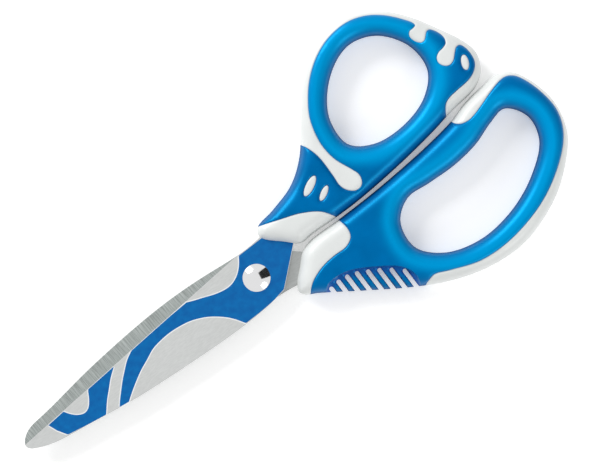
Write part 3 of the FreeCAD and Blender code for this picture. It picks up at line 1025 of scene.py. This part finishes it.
@dataclass
class BladePrint:
    """The two films printed on the upper blade: a white ground and blue shapes over it.

    Points are (towards the tip, towards the spine) from the pivot, in millimetres.
    """

    shapes: dict[str, tuple[Run, ...]]
    keyline: float = 0.32
    ground_film: float = 0.012
    colour_film: float = 0.02
    rivet_clear: float = 4.3   # the print stops under the rivet's head
    pieces: dict[str, bpy.types.Object] = field(default_factory=dict)

    def film(self, name: str, loops: list[np.ndarray], thickness: float) -> bpy.types.Object:
        """Lay one film on the blade's face.

        Args:
            name: The piece's name.
            loops: The closed lines that bound the film; one inside another is a hole.
            thickness: The film's thickness, in millimetres.

        Returns:
            The film's object, a closed mesh at the origin.
        """
        curve = bpy.data.curves.new(name, "CURVE")
        curve.dimensions = "2D"
        curve.fill_mode = "BOTH"
        curve.extrude = thickness / 2 * MM
        for loop in loops:
            spline = curve.splines.new("POLY")
            spline.points.add(len(loop) - 1)
            for point, (x, y) in zip(spline.points, loop):
                point.co = ((PIVOT[0] + x) * MM, (PIVOT[1] + y) * MM, 0, 1)
            spline.use_cyclic_u = True
        piece = bpy.data.objects.new(name, curve)
        bpy.context.scene.collection.objects.link(piece)
        select_only(piece)
        bpy.ops.object.convert(target="MESH")
        piece = bpy.context.view_layer.objects.active
        piece.location.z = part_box("front_blade")[1].z + thickness / 2 * MM
        bpy.ops.object.transform_apply(location=True, rotation=True, scale=True)
        bpy.ops.object.mode_set(mode="EDIT")
        bpy.ops.mesh.select_all(action="SELECT")
        bpy.ops.mesh.remove_doubles(threshold=1e-7)
        bpy.ops.mesh.normals_make_consistent(inside=False)
        bpy.ops.object.mode_set(mode="OBJECT")
        return piece

    def build(self) -> None:
        """Make a white ground and a blue shape for each drawn shape."""
        angle = np.linspace(0, 2 * math.pi, RIVET_HOLE_POINTS, endpoint=False)
        hole = self.rivet_clear * np.column_stack([np.cos(angle), np.sin(angle)])
        for name, runs in self.shapes.items():
            parts = [run.samples() for run in runs]
            blue = np.vstack(parts)
            margins = [np.full((len(part), 1), self.keyline * run.ends) for part, run in zip(parts, runs)]
            area = (blue[:, 0] * np.roll(blue[:, 1], -1) - np.roll(blue[:, 0], -1) * blue[:, 1]).sum()
            outward = offset(blue, -math.copysign(1.0, area), True) - blue
            white = blue + outward * np.vstack(margins)
            holes = [hole] if is_inside(np.zeros((1, 2)), blue)[0] else []
            self.pieces[f"{name}_ground"] = self.film(f"{name}_ground", [white, *holes], self.ground_film)
            self.pieces[f"{name}_colour"] = self.film(f"{name}_colour", [blue, *holes], self.colour_film)

    def dress(self, ground: bpy.types.Material, colour: bpy.types.Material) -> None:
        """Ink the films and let them ride on the upper blade.

        Args:
            ground: The material of the white ground.
            colour: The material of the shapes over it.
        """
        for name, piece in self.pieces.items():
            dress(piece, ground if name.endswith("_ground") else colour)
            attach(piece, Body.THUMB.value)
            LOG.info("%s: %d faces", name, len(piece.data.polygons))


PRINT = BladePrint({
    "print_main": (
        Run(((-9.6, -9.55), (0.2, -9.4)), ends=0),
        Run(((0.5, -9.2), (1.5, -7.7), (3.3, -5.7), (5.6, -4.1), (8.3, -3.2), (10.8, -3.2), (14.4, -4.0),
             (17.6, -5.2), (20.9, -6.4), (23.6, -7.5)), curved=True),
        Run(((30.7, -7.1), (39.5, -6.4), (47.8, -5.7)), ends=0.4),
        Run(((48.6, -5.3), (50.9, -4.0), (53.6, -1.8), (56.1, 0.4), (58.5, 2.8), (60.8, 5.2), (62.3, 6.95)),
            curved=True),
        Run(((58.7, 7.4), (56.3, 5.7), (53.0, 3.6), (49.5, 1.6), (45.0, -0.4), (41.9, -1.8), (38.4, -2.5),
             (34.1, -2.8), (30.1, -2.5), (26.4, -1.8), (23.2, -0.6), (20.2, 1.0), (16.3, 4.1), (14.0, 6.7),
             (12.0, 9.8)), curved=True),
        Run(((11.6, 9.95), (6.0, 9.85), (0.0, 9.42), (-5.0, 8.5)), curved=True, ends=0),
        Run(((-17.9, -2.9), (-14.6, -4.4)), ends=0),
    ),
    "print_tip": (
        Run(((84.8, -2.5), (78.2, -3.1)), ends=0.4),
        Run(((77.9, -2.8), (76.9, -1.3), (75.0, 0.6), (72.7, 1.5), (70.9, 1.0), (69.0, -1.0), (67.4, -3.7)),
            curved=True),
        Run(((67.0, -4.1), (56.0, -5.0)), ends=0.4),
        Run(((55.9, -4.8), (58.9, -2.5), (61.8, 0.3), (64.2, 2.6), (67.2, 6.1)), curved=True),
        Run(((67.6, 6.2), (74.1, 5.2), (81.3, 3.95)), curved=True, ends=0),
        Run(((81.7, 3.6), (83.6, 0.6), (84.7, -2.2))),
    ),
})


# ------------------------ the studio


@dataclass
class Studio:
    """A pale floor, soft light from one side, and a camera that looks straight down."""

    camera_over: tuple[float, float] = (-11.06, -0.01)
    camera_turn: float = 143.0
    camera_height: float = 805.5
    room_light: float = 0.52   # what the white room gives to matt surfaces
    room_mirrored: float = 0.92
    lens: float = 144.0
    floor_light: float = 0.28  # glow of the white board, which keeps its shadows soft
    card_at: tuple[float, float, float] = (-0.62, 0.1, 0.42)
    card_size: tuple[float, float, float] = (0.62, 1.15, 1.0)

    def floor(self) -> None:
        """Lay the floor that the handles rest on."""
        bpy.ops.object.select_all(action="DESELECT")
        bpy.ops.mesh.primitive_plane_add(size=6.0, location=(0, 0, 0))
        floor = bpy.context.view_layer.objects.active
        floor.name = "studio_floor"
        material = bpy.data.materials.new("matt_white_board")
        material.use_nodes = True
        shader = material.node_tree.nodes["Principled BSDF"]
        shader.inputs["Base Color"].default_value = linear("#f7f7f7")
        shader.inputs["Roughness"].default_value = 0.9
        shader.inputs["Specular IOR Level"].default_value = 0.1
        shader.inputs["Emission Color"].default_value = linear("#ffffff")
        shader.inputs["Emission Strength"].default_value = self.floor_light
        dress(floor, material)

    def lamp(
        self, name: str, place: tuple[float, float, float], size: float, watts: float
    ) -> bpy.types.Object:
        """Hang a square soft light that faces the object's middle.

        Args:
            name: The light's name.
            place: Where it hangs, in metres.
            size: Its side, in metres.
            watts: Its power.

        Returns:
            The light.
        """
        data = bpy.data.lights.new(name, "AREA")
        data.size = size
        data.energy = watts
        lamp = bpy.data.objects.new(name, data)
        lamp.location = place
        lamp.rotation_euler = (-Vector(place)).to_track_quat("-Z", "Y").to_euler()
        bpy.context.scene.collection.objects.link(lamp)
        return lamp

    def dark_card(self) -> None:
        """Stand a dark card where only the rivet's dome mirrors it."""
        bpy.ops.object.select_all(action="DESELECT")
        bpy.ops.mesh.primitive_plane_add(size=1.0, location=self.card_at)
        card = bpy.context.view_layer.objects.active
        card.name = "studio_dark_card"
        card.scale = self.card_size
        card.rotation_euler = (-Vector(self.card_at)).to_track_quat("Z", "Y").to_euler()
        material = bpy.data.materials.new("black_felt_card")
        material.use_nodes = True
        shader = material.node_tree.nodes["Principled BSDF"]
        shader.inputs["Base Color"].default_value = linear("#101112")
        shader.inputs["Roughness"].default_value = 1.0
        dress(card, material)
        card.visible_camera = False
        card.visible_diffuse = False
        card.visible_shadow = False

    def camera(self) -> None:
        """Set the camera over the object."""
        data = bpy.data.cameras.new("camera")
        data.sensor_width = 36.0
        data.lens = self.lens
        camera = bpy.data.objects.new("camera", data)
        camera.location = Vector((*self.camera_over, self.camera_height)) * MM
        camera.rotation_euler = (0, 0, math.radians(self.camera_turn))
        bpy.context.scene.collection.objects.link(camera)
        bpy.context.scene.camera = camera

    def build(self) -> None:
        """Set up the room, the floor, the lights and the camera."""
        world = bpy.data.worlds.new("studio")
        world.use_nodes = True
        tree = world.node_tree
        mirrored = add_node(tree, "ShaderNodeLightPath", out="Is Glossy Ray")
        strength = {0: mirrored, 3: self.room_light, 4: self.room_mirrored}
        tree.links.new(
            add_node(tree, RANGE, strength), tree.nodes["Background"].inputs["Strength"]
        )
        tree.nodes["Background"].inputs["Color"].default_value = (1.0, 1.0, 1.0, 1.0)
        bpy.context.scene.world = world
        bpy.context.scene.view_settings.view_transform = "Standard"
        self.floor()
        self.lamp("key_light", (0.25, -1.65, 1.0), 0.9, 30.0)
        self.lamp("rim_light", (-0.2, 1.6, 0.95), 0.8, 11.0)
        top = self.lamp("top_light", (-0.1, 0.05, 1.7), 0.6, 2.2)
        top.visible_glossy = False
        self.dark_card()
        self.camera()


def main() -> None:
    """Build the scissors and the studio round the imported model."""
    logging.basicConfig(level=logging.INFO, format="%(name)s: %(message)s")
    METALWORK.dress()
    plastics = {Plastic.HARD: CORE.make(), Plastic.SOFT: GRIP.make()}
    for handle in (THUMB, FINGER):
        handle.build()
        handle.dress(plastics)
    PRINT.build()
    PRINT.dress(WHITE_INK.make(), BLUE_INK.make())
    Studio().build()
    LOG.info("studio: floor, lights and camera")


if __name__ == "__main__":
    main()
